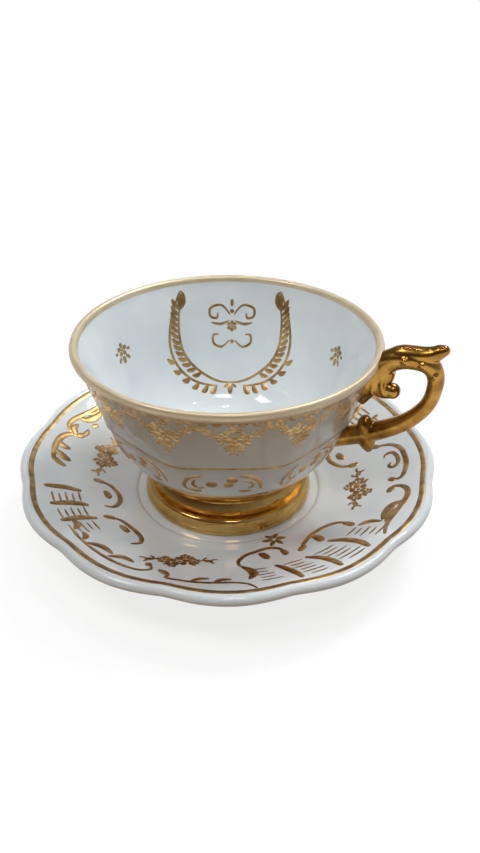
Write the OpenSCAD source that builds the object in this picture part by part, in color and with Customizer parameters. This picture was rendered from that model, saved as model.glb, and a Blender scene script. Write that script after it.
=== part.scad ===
// Footed coffee cup with a scroll handle, standing on a scalloped saucer.
// The origin is on the common axis, at the level that the saucer stands on. The handle points along +X.

/* [Cup] */
// Diameter of the cup over its rim
rim_d = 80; // [70:1:86]
// Height of the cup, from the underside of its foot to its rim
cup_h = 48.2; // [44:0.2:54]
// Height of the belly edge, where the upper wall ends, above the underside of the foot
belly_h = 28.2; // [26:0.2:31]
// Distance between two opposite panels, at the belly edge
belly_flat = 64; // [60:0.5:67]
// Distance between two opposite panel corners, at the belly edge
belly_corner = 68.4; // [67.5:0.1:70]
// Number of flat panels round the bowl
panels = 8; // [6:2:12]
// Wall of the bowl between two panel corners
wall_t = 2.2; // [1.6:0.1:3]
// Width of the rounded lip
lip_t = 2; // [1.6:0.1:2.6]
// Thickness of the bowl's floor
floor_t = 3; // [2.4:0.1:4]

/* [Foot] */
// Diameter of the foot
foot_d = 47.5; // [42:0.5:50]
// Height of the foot, up to the waist where the bowl is set on it
foot_h = 8.8; // [7.8:0.1:10]
// Diameter of the waist
waist_d = 37.4; // [34:0.2:39]
// Height of the moulded ring round the base of the foot
ring_h = 4.6; // [3.8:0.1:5.4]
// Wall of the foot round its hollow underside
foot_t = 3.4; // [2.8:0.1:4]

/* [Handle] */
// Distance from the axis to the outer face of the handle
handle_reach = 55.4; // [52:0.2:56]
// Thickness of the handle's arm, seen from the side
arm_t = 4.2; // [3.6:0.1:4.8]
// Width of the handle's arm, seen from above
arm_w = 4.8; // [4:0.1:6]

/* [Saucer] */
// Diameter of the saucer over its lobes
saucer_d = 116; // [114:0.5:122]
// Height of the saucer's edge above the table
saucer_h = 17; // [15:0.2:19]
// Number of lobes round the saucer's edge
lobes = 12; // [8:1:16]
// Depth of the notches between the lobes
notch_depth = 1.5; // [0.6:0.1:2]
// Turn of the lobes against the handle, as the loose cup was set down on the saucer
saucer_turn = 22.5; // [0:0.5:30]
// Diameter of the flat well that the cup stands in
well_d = 52; // [51.5:0.1:54]
// Height of the well's floor above the table
well_h = 5; // [4.6:0.1:5.6]
// Thickness of the saucer
saucer_t = 2.8; // [2.2:0.1:3.2]
// Mean diameter of the ring that the saucer stands on
stand_d = 59; // [56:0.5:62]
// Width of that ring
stand_w = 3; // [2.4:0.1:3.6]

/* [Hidden] */
porcelain = "#eef1f2";
gilt = "#c8922e";

// Slip joint between the handle and the bowl
slip_t = 0.05;
// Overrun of the cuts
over = 1;
// Steps round one panel, round one lobe and round the handle's section
panel_steps = 8;
lobe_steps = 8;
arm_steps = 12;
// Rings between two stations of a smooth outline, and of a scroll
smooth_steps = 2;
scroll_steps = 3;
// Steps of the turned foot
turn_steps = 96;

rim_r = rim_d / 2;
belly_r = belly_corner / 2;
waist_r = waist_d / 2;
bowl_top = well_h + cup_h;
bowl_base = well_h + foot_h;
belly_z = well_h + belly_h;
upper_h = bowl_top - belly_z;
lower_h = belly_z - bowl_base;
panel_depth = (belly_corner - belly_flat) / 2;

// A point of the smooth curve through four stations of equal length, at t from the second to the third
function blend(a, b, c, d, t) =
    0.5 * (2 * b + (c - a) * t + (2 * a - 5 * b + 4 * c - d) * t * t + (3 * b - a - 3 * c + d) * t * t * t);

// The smooth curve through a list of stations, with n steps between two of them
function smooth(s, n) = let (last = len(s) - 1) [
    for (i = [0 : last - 1])
        for (k = [0 : n - 1])
            blend(s[max(i - 1, 0)], s[i], s[i + 1], s[min(i + 2, last)], k / n),
    s[last]
];

// Share of the way from the middle of a straight side, 0, to its corner, 1, on a polygon of n sides
function side_share(angle, n) =
    let (half = 180 / n, a = abs((angle + 360) % (2 * half) - half), away = half - a)
    (1 / cos(half - away) - 1) / (1 / cos(half) - 1);

// Share of a notch that its rounding fills
soft_share = 0.03;
// Share of the way from a notch, 0, to the middle of a lobe, 1, on an edge of n lobes
function lobe_share(angle, n) = sqrt(pow(cos(angle * n / 2), 2) * (1 - soft_share) + soft_share);

// Measure b of the places whose measure a is at a given value, on a line of stations
function along(stations, a, value, b) = lookup(value, [for (s = stations) [s[a], s[b]]]);

// A closed solid of rings of points, between a first and a last point on the axis
module ringed(first, rings, last) {
    n = len(rings[0]);
    m = len(rings);
    points = concat([first], [for (ring = rings) for (p = ring) p], [last]);
    faces = concat(
        [for (j = [0 : n - 1]) [0, 1 + (j + 1) % n, 1 + j]],
        [for (i = [0 : m - 2]) for (j = [0 : n - 1])
            let (a = 1 + i * n + j, b = 1 + i * n + (j + 1) % n) each [[a, b, a + n], [b, b + n, a + n]]],
        [for (j = [0 : n - 1]) let (a = 1 + (m - 1) * n) [a + j, a + (j + 1) % n, m * n + 1]]
    );
    polyhedron(points, faces);
}

// One ring of a panelled bowl. A station is [radius at a corner, height, depth of the panels there].
function panel_ring(s, grow = 0) = [
    for (j = [0 : panels * panel_steps - 1])
        let (angle = j * 360 / (panels * panel_steps), r = s[0] + grow - s[2] * (1 - side_share(angle, panels)))
        [r * cos(angle), r * sin(angle), s[1]]
];

// One ring of a lobed saucer. A station is [radius at a lobe, height, depth of the notches there].
function lobe_ring(s) = [
    for (j = [0 : lobes * lobe_steps - 1])
        let (angle = j * 360 / (lobes * lobe_steps), r = s[0] - s[2] * (1 - lobe_share(angle, lobes)))
        [r * cos(angle + saucer_turn), r * sin(angle + saucer_turn), s[1]]
];

// Outer wall from the lip down to the belly edge, as [share of the flare, share of the height, share of the panels]
upper_shares = [
    [0.8, 0.87, 0], [0.7, 0.8, 0.14], [0.52, 0.6, 0.36], [0.3, 0.34, 0.64], [0.14, 0.16, 0.84], [0, 0, 1]
];
// Outer wall below the belly edge, as [share from the waist to the belly, share of the height, share of the panels]
lower_shares = [
    [0.95, 0.03, 0.92], [0.9, 0.2, 0.8], [0.79, 0.41, 0.64], [0.62, 0.63, 0.48], [0.39, 0.84, 0.28],
    [0.15, 0.95, 0.08], [0, 1, 0]
];
// Inner wall from the floor up, as [share of the radius that the wall leaves at that height,
// share of the inside's depth from the rim, share of the panels]
inner_shares = [
    [0.37, 1, 0], [0.76, 0.985, 0], [0.93, 0.94, 0.1], [0.985, 0.83, 0.3], [1, 0.66, 0.45], [1, 0.46, 0.45],
    [1, 0.25, 0.3], [1.02, 0.07, 0]
];
// Inner half and outer half of the rounded lip, as [share of the lip's width inwards from the rim,
// share of that width below the rim]
lip_in_shares = [[1, 0.6], [0.86, 0.22], [0.6, 0.03], [0.36, 0], [0.14, 0.14]];
lip_out_shares = [[0, 0.46], [0.04, 0.8], [0.24, 1.1]];

inside_depth = cup_h - foot_h - floor_t;

outer_wall = smooth(concat(
    [for (s = upper_shares) [belly_r + s[0] * (rim_r - belly_r), belly_z + s[1] * upper_h, s[2] * panel_depth]],
    [for (s = lower_shares)
        [waist_r + s[0] * (belly_r - waist_r), belly_z - s[1] * lower_h, s[2] * panel_depth]]
), smooth_steps);
inner_wall = smooth([
    for (s = inner_shares)
        let (z = bowl_top - s[1] * inside_depth)
        [s[0] * (along(outer_wall, 1, z, 0) - wall_t), z, s[2] * panel_depth]
], smooth_steps);
lip_in = [for (s = lip_in_shares) [rim_r - s[0] * lip_t, bowl_top - s[1] * lip_t, 0]];
lip_out = [for (s = lip_out_shares) [rim_r - s[0] * lip_t, bowl_top - s[1] * lip_t, 0]];

// The bowl's outer form, filled and carried up past the rim. The handle is cut to it, grown sideways by a clearance.
module bowl_form(grow) {
    clear_top = bowl_top + upper_h;
    stations = concat([[rim_r, clear_top, 0]], lip_out, outer_wall);
    ringed([0, 0, clear_top], [for (s = stations) panel_ring(s, grow)], [0, 0, bowl_base]);
}

module cup_bowl() {
    stations = concat(inner_wall, lip_in, lip_out, outer_wall);
    color(porcelain) ringed(
        [0, 0, bowl_top - inside_depth], [for (s = stations) panel_ring(s)], [0, 0, bowl_base]
    );
}

// Stem of the foot, as [share of the flare outwards from the waist, share of the stem's height above the ring]
stem_shares = [[0, 1], [-0.06, 0.8], [0, 0.5], [0.22, 0.14], [0.42, 0]];
// Moulded ring at the base of the foot, as [share of the flare, share of the ring's height]
ring_shares = [[0.62, 1], [0.78, 0.94], [0.88, 0.78], [0.95, 0.52], [1, 0.24], [1, 0.1], [0.94, 0]];
// Hollow under the foot, as [share of the radius inside the foot's wall, share of the height below its floor]
hollow_shares = [[1, 0], [0.92, 0.46], [0.74, 0.82], [0.4, 0.96], [0, 1]];

flare = foot_d / 2 - waist_r;
hollow_r = foot_d / 2 - foot_t;

// The foot is one turned outline: stem, moulded ring, and the hollow that its underside has
module cup_foot() {
    stem = [for (s = stem_shares) [waist_r + s[0] * flare, ring_h + s[1] * (foot_h - ring_h)]];
    ring = [for (s = ring_shares) [waist_r + s[0] * flare, s[1] * ring_h]];
    hollow = [for (s = hollow_shares) [s[0] * hollow_r, s[1] * (foot_h - foot_t)]];
    color(gilt) translate([0, 0, well_h]) rotate_extrude($fn = turn_steps)
        polygon(concat([[0, foot_h]], stem, ring, hollow));
}

// The handle's scrolls lie in the plane through the axis and +X. Their stations are
// [share of the way from the belly edge to the handle's reach, share of the way from the belly edge up to the rim,
// share of the arm's thickness, share of the arm's width].
arm_shares = [
    [0.08, 0.58, 1.5, 1.1], [0.21, 0.78, 1.5, 1.1], [0.34, 0.98, 1.42, 1.14], [0.49, 1.07, 1.3, 1.18],
    [0.67, 1.085, 1.2, 1.12], [0.82, 1.035, 1.12, 1.04], [0.895, 0.9, 0.98, 0.96], [0.9, 0.72, 0.92, 0.94],
    [0.86, 0.53, 0.92, 0.93], [0.76, 0.355, 0.96, 0.96], [0.62, 0.2, 1.04, 1], [0.46, 0.08, 1.12, 1.04],
    [0.29, -0.02, 1.2, 1.12], [0.12, -0.1, 1.2, 1.2], [-0.2, -0.24, 1.2, 1.2]
];
// Thumb rest, a long leaf that lies on the arm and runs out to a blunt rolled tip
spur_shares = [
    [0.3, 0.98, 1.1, 0.9], [0.47, 1.115, 1.08, 0.94], [0.6, 1.14, 1.06, 0.98], [0.73, 1.155, 1, 0.96],
    [0.83, 1.18, 0.92, 0.86], [0.9, 1.225, 0.76, 0.7], [0.94, 1.27, 0.54, 0.5], [0.96, 1.29, 0.36, 0.34]
];
// Rolled tip of the thumb rest
tip_shares = [0.945, 1.28, 0.54, 1];
// Volute that curls down from the upper root into the loop, and ends in a bead
volute_shares = [
    [0.31, 0.98, 1.5, 0.92], [0.28, 0.85, 1.76, 0.9], [0.26, 0.71, 1.72, 0.86], [0.33, 0.62, 1.3, 0.82],
    [0.42, 0.61, 1, 0.8]
];
bead_shares = [0.44, 0.61, 0.98, 1];
// Leaf tip below the volute, along the wall
leaf_shares = [[0.2, 0.72, 1.3, 0.86], [0.13, 0.5, 0.95, 0.72], [0.1, 0.35, 0.3, 0.3]];
// Leaf lobes of the lower root: one stands up into the loop, one hangs down below the arm
lobe_up_shares = [
    [0.21, -0.04, 1.2, 1.16], [0.18, 0.05, 1.08, 1.06], [0.17, 0.12, 0.84, 0.86], [0.165, 0.175, 0.4, 0.44]
];
lobe_down_shares = [
    [0.2, -0.06, 1.3, 1.2], [0.21, -0.16, 1.16, 1.1], [0.235, -0.25, 0.84, 0.84], [0.26, -0.33, 0.36, 0.4]
];
// Small knobs in pairs along the inside of the arm's bend, as
// [share of the reach, share of the height, share of the arm's thickness, share of the arm's width to the side]
knob_shares = [[0.545, 1.1, 0.46, 0.5], [0.74, 1.08, 0.44, 0.46], [0.895, 0.96, 0.42, 0.4]];

// Real place and size of one station of a scroll
function scroll_station(s) = [
    belly_r + s[0] * (handle_reach - belly_r), belly_z + s[1] * upper_h, s[2] * arm_t, s[3] * arm_w
];

// A scroll of the handle: an oval section that follows its stations, closed at both ends
module scroll(shares) {
    s = smooth([for (share = shares) scroll_station(share)], scroll_steps);
    last = len(s) - 1;
    rings = [
        for (i = [0 : last])
            let (a = s[max(i - 1, 0)], b = s[min(i + 1, last)], run = norm([b[0] - a[0], b[1] - a[1]]))
            let (nx = -(b[1] - a[1]) / run, nz = (b[0] - a[0]) / run)
            [for (j = [0 : arm_steps - 1]) let (angle = j * 360 / arm_steps, c = cos(angle) * s[i][2] / 2)
                [s[i][0] + nx * c, sin(angle) * s[i][3] / 2, s[i][1] + nz * c]]
    ];
    ringed([s[0][0], 0, s[0][1]], rings, [s[last][0], 0, s[last][1]]);
}

// The scrolls are luted into one handle, and its roots are cut to the wall of the bowl
module cup_handle() {
    bead = scroll_station(bead_shares);
    tip = scroll_station(tip_shares);
    color(gilt) difference() {
        union() {
            scroll(arm_shares);
            scroll(spur_shares);
            scroll(volute_shares);
            scroll(leaf_shares);
            scroll(lobe_up_shares);
            scroll(lobe_down_shares);
            translate([bead[0], 0, bead[1]]) sphere(d = bead[2], $fn = arm_steps);
            translate([tip[0], 0, tip[1]]) sphere(d = tip[2], $fn = arm_steps);
            for (share = knob_shares, side = [-1, 1])
                let (knob = scroll_station(share))
                    translate([knob[0], side * knob[3], knob[1]]) sphere(d = knob[2], $fn = arm_steps);
        }
        bowl_form(slip_t);
    }
}

// Top of the saucer from the well outwards, as [share of the way from the well to the edge, share of the rise,
// share of the notches]
top_shares = [
    [0, 0, 0], [0.03, 0.05, 0], [0.14, 0.1, 0], [0.32, 0.26, 0.1], [0.52, 0.48, 0.25], [0.7, 0.7, 0.5],
    [0.84, 0.88, 0.75], [0.92, 0.97, 0.9]
];
// Rounded edge, as [share of the saucer's thickness inwards from the edge, share of it below the edge]
edge_shares = [[0.6, 0], [0.3, 0.05], [0.08, 0.24], [0, 0.5], [0.1, 0.76], [0.36, 0.96]];
// Underside from the edge in to the standing ring, as [share of the way from the ring to the edge,
// share of the saucer's thickness below the top there, share of the notches]
under_shares = [
    [0.9, 1.04, 0.9], [0.76, 1.1, 0.66], [0.56, 1.16, 0.3], [0.34, 1.16, 0.1], [0.12, 1.1, 0], [0.02, 1.08, 0]
];

well_r = well_d / 2;
edge_r = saucer_d / 2;
stand_outer = (stand_d + stand_w) / 2;
floor_under = well_h - saucer_t;
// Width that the inner side of the standing ring flares by
stand_fillet = 0.8;
saucer_rise = saucer_h - well_h;

// The saucer is one lobed turning, ground flat on the ring that it stands on
module saucer() {
    top = smooth([
        for (s = top_shares) [well_r + s[0] * (edge_r - well_r), well_h + s[1] * saucer_rise, s[2] * notch_depth]
    ], smooth_steps);
    edge = [for (s = edge_shares) [edge_r - s[0] * saucer_t, saucer_h - s[1] * saucer_t, notch_depth]];
    under = [
        for (s = under_shares)
            let (r = stand_outer + s[0] * (edge_r - stand_outer))
            [r, along(top, 0, r, 1) - s[1] * saucer_t, s[2] * notch_depth]
    ];
    stand_inner = stand_outer - stand_w;
    stand = [[stand_outer, -over, 0], [stand_inner, -over, 0], [stand_inner - stand_fillet, floor_under, 0]];
    color(porcelain) difference() {
        ringed([0, 0, well_h], [for (s = concat(top, edge, under, stand)) lobe_ring(s)], [0, 0, floor_under]);
        translate([0, 0, -2 * over]) cylinder(r = edge_r, h = 2 * over, $fn = lobes * lobe_steps);
    }
}
saucer();
cup_bowl();
cup_foot();
cup_handle();
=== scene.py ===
"""Footed coffee cup with a scroll handle on a scalloped saucer, in glazed porcelain and gold.

Sizes are in millimetres until a mesh is written. Z is the common axis of cup and saucer, and the handle
points along +X. Gold ornament is drawn flat as brush strokes, and is then laid on the wall that carries it.
"""

import logging
import math
from dataclasses import dataclass, field
from enum import Enum
from typing import Callable, Iterable, Sequence

import bpy
import numpy as np
from mathutils import Matrix, Vector


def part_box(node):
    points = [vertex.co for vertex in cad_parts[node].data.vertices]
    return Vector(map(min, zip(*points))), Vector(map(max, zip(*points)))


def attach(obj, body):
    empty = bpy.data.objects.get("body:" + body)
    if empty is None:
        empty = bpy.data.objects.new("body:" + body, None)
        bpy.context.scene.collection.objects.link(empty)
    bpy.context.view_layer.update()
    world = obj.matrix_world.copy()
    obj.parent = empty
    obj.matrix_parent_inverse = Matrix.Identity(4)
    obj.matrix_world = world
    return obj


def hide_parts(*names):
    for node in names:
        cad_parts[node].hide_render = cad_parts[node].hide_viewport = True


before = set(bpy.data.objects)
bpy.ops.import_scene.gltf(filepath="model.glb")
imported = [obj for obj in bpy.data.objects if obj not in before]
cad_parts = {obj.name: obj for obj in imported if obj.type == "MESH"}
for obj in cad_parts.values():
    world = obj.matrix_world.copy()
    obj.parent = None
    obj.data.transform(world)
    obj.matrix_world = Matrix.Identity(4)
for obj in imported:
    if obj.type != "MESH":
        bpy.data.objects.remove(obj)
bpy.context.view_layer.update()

log = logging.getLogger("coffee_cup")
MM = 0.001
WHITE = "#FFFFFF"
Piece = bpy.types.Object
Points = Sequence[tuple[float, ...]]
Wrap = Callable[[np.ndarray], np.ndarray]


def smooth_line(stations: Sequence[Sequence[float]], steps: int) -> np.ndarray:
    """Draws the smooth curve through a list of stations.

    Args:
        stations: The stations, each with as many values as the line carries.
        steps: Pieces between two stations.

    Returns:
        One row of values for each point of the curve.
    """
    s = np.array(stations, float)
    i = np.arange(len(s) - 1)
    a, b, c, d = s[np.maximum(i - 1, 0)], s[i], s[i + 1], s[np.minimum(i + 2, len(s) - 1)]
    t = (np.arange(steps) / steps)[:, None, None]
    rows = 0.5 * (2 * b + (c - a) * t + (2 * a - 5 * b + 4 * c - d) * t**2 + (3 * b - a - 3 * c + d) * t**3)
    return np.vstack([rows.transpose(1, 0, 2).reshape(-1, s.shape[1]), s[-1]])


def heading(line: np.ndarray, i: int, ahead: int = 1) -> float:
    """Direction in degrees in which a flat line runs at point i, measured over some points ahead."""
    return math.degrees(math.atan2(*(line[i + ahead] - line[i])[::-1]))


def mesh_points(piece: Piece) -> np.ndarray:
    """Returns the piece's vertices as one row of x, y, z each.

    Args:
        piece: The mesh piece.

    Returns:
        The rows, in metres.
    """
    values = np.empty(len(piece.data.vertices) * 3)
    piece.data.vertices.foreach_get("co", values)
    return values.reshape(-1, 3)


def set_mesh_points(piece: Piece, points: np.ndarray) -> None:
    """Writes the piece's vertices from one row of x, y, z each."""
    piece.data.vertices.foreach_set("co", points.ravel())
    piece.data.update()


def only(piece: Piece) -> None:
    """Makes the piece the one object that is selected and active.

    Args:
        piece: The piece.
    """
    bpy.ops.object.select_all(action="DESELECT")
    piece.select_set(True)
    bpy.context.view_layer.objects.active = piece


def turn_outwards(piece: Piece, weld: float = 0.0) -> None:
    """Turns all faces outwards.

    Args:
        piece: The mesh piece.
        weld: Distance under which vertices are made one first, in metres. At zero none are.
    """
    only(piece)
    bpy.ops.object.mode_set(mode="EDIT")
    bpy.ops.mesh.select_all(action="SELECT")
    if weld:
        bpy.ops.mesh.remove_doubles(threshold=weld)
    bpy.ops.mesh.normals_make_consistent(inside=False)
    bpy.ops.object.mode_set(mode="OBJECT")


def smooth_shaded(piece: Piece, crease_deg: float = 50.0) -> None:
    """Shades the piece smooth up to a crease angle in degrees."""
    only(piece)
    bpy.ops.object.shade_smooth_by_angle(angle=math.radians(crease_deg))


def apply_modifier(piece: Piece, kind: str, **settings: object) -> None:
    """Adds a modifier to the piece and applies it.

    Args:
        piece: The mesh piece.
        kind: Blender's name for the kind of modifier.
        **settings: Values of the modifier's properties.
    """
    only(piece)
    modifier = piece.modifiers.new(kind.lower(), kind)
    for name, value in settings.items():
        setattr(modifier, name, value)
    bpy.ops.object.modifier_apply(modifier=modifier.name)


def circle(name: str, sides: int, fill: str) -> Piece:
    """Adds a circle of unit radius in the floor's plane, filled as Blender's fill type says.

    Args:
        name: Name of the piece.
        sides: Sides round the circle.
        fill: Blender's fill type.

    Returns:
        The piece.
    """
    bpy.ops.object.select_all(action="DESELECT")
    bpy.ops.mesh.primitive_circle_add(vertices=sides, radius=1.0, fill_type=fill)
    piece = bpy.context.object
    piece.name = piece.data.name = name
    return piece


def lathe(name: str, line: np.ndarray, steps: int, closed: bool = False) -> Piece:
    """Turns an outline round the common axis, as a jigger turns clay.

    Args:
        name: Name of the piece.
        line: The outline: rows of radius, height and depth of panels or notches, in mm.
        steps: Steps round the full turn.
        closed: Whether the outline closes on itself. An open one runs from axis to axis.

    Returns:
        The turned piece, in metres. Its attribute "depth" keeps the third value of each row.
    """
    piece = circle(name, len(line), "NOTHING")
    set_mesh_points(piece, np.c_[line[:, 0], np.zeros(len(line)), line[:, 1]] * MM)
    depth = piece.data.attributes.new("depth", "FLOAT", "POINT")
    depth.data.foreach_set("value", line[:, 2].astype(np.float32))
    bpy.ops.object.mode_set(mode="EDIT")
    if not closed:
        bpy.ops.mesh.select_mode(type="EDGE")
        bpy.ops.mesh.select_all(action="DESELECT")
        bpy.ops.object.mode_set(mode="OBJECT")
        ends = {0, len(line) - 1}
        for edge in piece.data.edges:
            edge.select = set(edge.vertices) == ends
        bpy.ops.object.mode_set(mode="EDIT")
        bpy.ops.mesh.delete(type="EDGE")
        bpy.ops.mesh.select_mode(type="VERT")
    bpy.ops.mesh.select_all(action="SELECT")
    bpy.ops.mesh.spin(steps=steps, angle=2 * math.pi, center=(0, 0, 0), axis=(0, 0, 1))
    bpy.ops.object.mode_set(mode="OBJECT")
    turn_outwards(piece, weld=1e-6)
    return piece


def press(piece: Piece, share_at: Callable[[np.ndarray], np.ndarray], gap_mm: float = 0.0) -> None:
    """Presses panels or notches into a turned piece, towards the axis.

    Args:
        piece: A piece from lathe, whose attribute "depth" says how deep each vertex may go.
        share_at: Share of that depth at angles in radians.
        gap_mm: Further way in, the same for all vertices.
    """
    # The least radius keeps the points on the axis from a division by zero.
    least_r = 1e-9
    points = mesh_points(piece)
    depth = np.empty(len(points), np.float32)
    piece.data.attributes["depth"].data.foreach_get("value", depth)
    radius = np.maximum(np.hypot(points[:, 0], points[:, 1]), least_r)
    share = share_at(np.arctan2(points[:, 1], points[:, 0]))
    pressed = radius - depth * MM * share - gap_mm * MM
    points[:, :2] *= (np.maximum(pressed, 0) / radius)[:, None]
    set_mesh_points(piece, points)


def sleeve(name: str, rings: int, sides: int, fill: str) -> Piece:
    """Makes a straight sleeve or rod of unit radius by extruding a circle upwards.

    Args:
        name: Name of the piece.
        rings: Number of rings after the first, each one unit higher.
        sides: Sides round the circle.
        fill: Blender's fill type of the ends.

    Returns:
        The piece, which is then shaped ring by ring.
    """
    piece = circle(name, sides, fill)
    bpy.ops.object.mode_set(mode="EDIT")
    bpy.ops.mesh.select_all(action="SELECT")
    for _ in range(rings):
        bpy.ops.mesh.extrude_region_move(TRANSFORM_OT_translate={"value": (0, 0, 1)})
    bpy.ops.object.mode_set(mode="OBJECT")
    return piece


class Taper(Enum):
    """How the width of a brush stroke runs from its start to its end."""

    LEAF = "thin at both ends"
    SWELL = "blunt at both ends and fuller between them"
    ROUND = "an oval dab"
    EVEN = "a ruled line"

    def share(self, t: np.ndarray) -> np.ndarray:
        """Share of the full width at each share t of the stroke's length.

        Args:
            t: Shares of the stroke's length.

        Returns:
            The share of the width at each.
        """
        if self is Taper.EVEN:
            return np.ones_like(t)
        if self is Taper.ROUND:
            least = 0.01
            return np.sqrt(np.clip(1 - (2 * t - 1) ** 2, least, 1))
        tip, power = (0.08, 0.8) if self is Taper.LEAF else (0.4, 0.7)
        return tip + (1 - tip) * np.sin(np.pi * t) ** power


@dataclass(frozen=True)
class Stroke:
    """One brush stroke of gold, drawn flat in mm."""

    width: float
    points: Points
    taper: Taper = Taper.SWELL

    def placed(self, x: float = 0.0, y: float = 0.0, turn_deg: float = 0.0, flip: bool = False) -> "Stroke":
        """Copies the stroke to another place.

        Args:
            x: Move along the drawing.
            y: Move across the drawing.
            turn_deg: Turn about the drawing's origin, before the move.
            flip: Whether the stroke is first mirrored left to right.

        Returns:
            The new stroke.
        """
        c, s = math.cos(math.radians(turn_deg)), math.sin(math.radians(turn_deg))
        side = -1 if flip else 1
        moved = tuple((x + c * u * side - s * v, y + s * u * side + c * v) for u, v in self.points)
        return Stroke(self.width, moved, self.taper)

    def samples(self, spacing: float) -> np.ndarray:
        """Rows of x, y and half width along the stroke, about one spacing apart.

        Args:
            spacing: Distance between two rows, in mm.

        Returns:
            The rows, in mm.
        """
        run = np.linalg.norm(np.diff(np.array(self.points), axis=0), axis=1).sum()
        # An oval needs more rings than a line to look round.
        fewest = 8 if self.taper is Taper.ROUND else 5
        steps = max(math.ceil(max(run / spacing, fewest) / (len(self.points) - 1)), 1)
        line = smooth_line(self.points, steps)
        t = np.linspace(0, 1, len(line))
        return np.c_[line, self.taper.share(t) * self.width / 2]


def swell(width: float, *points: tuple[float, float]) -> Stroke:
    """A stroke with blunt ends through the points."""
    return Stroke(width, points)


def blade(width: float, *points: tuple[float, float]) -> Stroke:
    """A leaf-shaped stroke through the points."""
    return Stroke(width, points, Taper.LEAF)


def dab(x: float, y: float, length: float, width: float, turn_deg: float = 0.0) -> Stroke:
    """An oval dab of gold with its centre at x, y."""
    oval = Stroke(width, ((-length / 2, 0.0), (0.0, 0.0), (length / 2, 0.0)), Taper.ROUND)
    return oval.placed(x, y, turn_deg)


def group(strokes: Iterable[Stroke], **place: float) -> list[Stroke]:
    """Places several strokes alike. The names of place are those of Stroke.placed."""
    return [s.placed(**place) for s in strokes]


def row_of(strokes: Sequence[Stroke], places_x: Iterable[float], y: float) -> list[Stroke]:
    """Repeats a drawing at each x of a row, all at the same y."""
    return [s.placed(x, y) for x in places_x for s in strokes]


def ring_of(strokes: Sequence[Stroke], count: int) -> list[Stroke]:
    """Repeats strokes of a drawing whose origin is on the axis, evenly round it."""
    return [s.placed(turn_deg=360 * k / count) for k in range(count) for s in strokes]


def blossom(x: float, y: float, radius: float, petals: int = 5, fullness: float = 1.1) -> list[Stroke]:
    """A small open flower.

    Args:
        x: Place of its middle along the drawing.
        y: Place of its middle across the drawing.
        radius: Radius over the petals.
        petals: Number of petals.
        fullness: Width of a petal as a share of its length.

    Returns:
        The strokes of the petals and of the middle.
    """
    petal_share, eye_share = 0.72, 0.45
    length, eye = radius * petal_share, radius * eye_share
    petal = dab(radius - length / 2, 0, length, length * fullness)
    ring = [petal.placed(turn_deg=90 + 360 * k / petals) for k in range(petals)]
    return group(ring + [dab(0, 0, eye, eye)], x=x, y=y)


def posy(rows: Points) -> list[Stroke]:
    """Blossoms close together, from rows of x, y and radius."""
    return [s for x, y, radius in rows for s in blossom(x, y, radius)]


def leafy(stem: Points, width: float, leaf: float, pairs: int, lean_deg: float) -> list[Stroke]:
    """A stem with leaves in pairs along it.

    Args:
        stem: Points of the stem.
        width: Width of the stem.
        leaf: Length of a leaf.
        pairs: Number of pairs of leaves.
        lean_deg: Angle of a leaf to the stem.

    Returns:
        The strokes of the stem and its leaves.
    """
    line = smooth_line(stem, steps=12)
    first, slimness, bow = 0.6, 0.34, 0.1
    strokes = [swell(width, *stem)]
    for k in range(pairs):
        i = int((k + first) / pairs * (len(line) - 2))
        for side in (-1, 1):
            single = blade(leaf * slimness, (0.0, 0.0), (leaf * 0.5, leaf * bow * side), (leaf, 0.0))
            strokes.append(single.placed(*line[i], turn_deg=heading(line, i) + side * lean_deg))
    return strokes


def gold_strokes(name: str, strokes: Sequence[Stroke], wrap: Wrap, spacing: float = 0.45,
                 raised: float = 0.2) -> Piece:
    """Draws strokes as low rounded ridges and lays them on a wall.

    Args:
        name: Name of the piece.
        strokes: The strokes, in a flat drawing in mm.
        wrap: Takes rows of drawing x, drawing y and height over the wall, in mm, and returns places in mm.
        spacing: Distance between two rings of a ridge, in mm.
        raised: Height of a ridge as a share of its half width.

    Returns:
        The piece, one closed ridge for each stroke.
    """
    bpy.ops.object.select_all(action="DESELECT")
    bpy.ops.curve.primitive_bezier_curve_add()
    piece = bpy.context.object
    piece.name = name
    pen = piece.data
    pen.splines.clear()
    pen.dimensions = "3D"
    pen.twist_mode = "Z_UP"
    pen.bevel_depth = 1.0
    pen.bevel_resolution = 2
    pen.use_fill_caps = True
    for stroke in strokes:
        rows = stroke.samples(spacing)
        spline = pen.splines.new("POLY")
        spline.points.add(len(rows) - 1)
        spline.points.foreach_set("co", np.c_[rows[:, :2], np.zeros(len(rows)), np.ones(len(rows))].ravel())
        spline.points.foreach_set("radius", rows[:, 2])
    only(piece)
    bpy.ops.object.convert(target="MESH")
    piece = bpy.context.object
    piece.data.name = name
    flat = mesh_points(piece)
    film = 0.03
    flat[:, 2] = flat[:, 2] * raised + film
    set_mesh_points(piece, wrap(flat) * MM)
    turn_outwards(piece)
    smooth_shaded(piece)
    return piece


def linear(colour: str) -> tuple[float, float, float, float]:
    """Turns an sRGB hex colour to a linear colour with an alpha of one.

    Args:
        colour: The colour, as "#RRGGBB".

    Returns:
        Red, green, blue and alpha, from 0 to 1.
    """
    parts = [int(colour[i:i + 2], 16) / 255 for i in (1, 3, 5)]
    red, green, blue = (c / 12.92 if c <= 0.04045 else ((c + 0.055) / 1.055) ** 2.4 for c in parts)
    return red, green, blue, 1.0


def per(size_mm: float) -> float:
    """Scale of a pattern on Object coordinates whose features measure size_mm."""
    return 1 / (size_mm * MM)


def two_tones(ramp: bpy.types.Node, low: str, high: str, span: tuple[float, float]) -> None:
    """Sets the two colours of a colour ramp.

    Args:
        ramp: The ramp's node.
        low: Hex colour up to the start of the span.
        high: Hex colour from its end on.
        span: Values between which the colours blend.
    """
    for element, colour, position in zip(ramp.color_ramp.elements, (low, high), span):
        element.color = linear(colour)
        element.position = position


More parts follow.
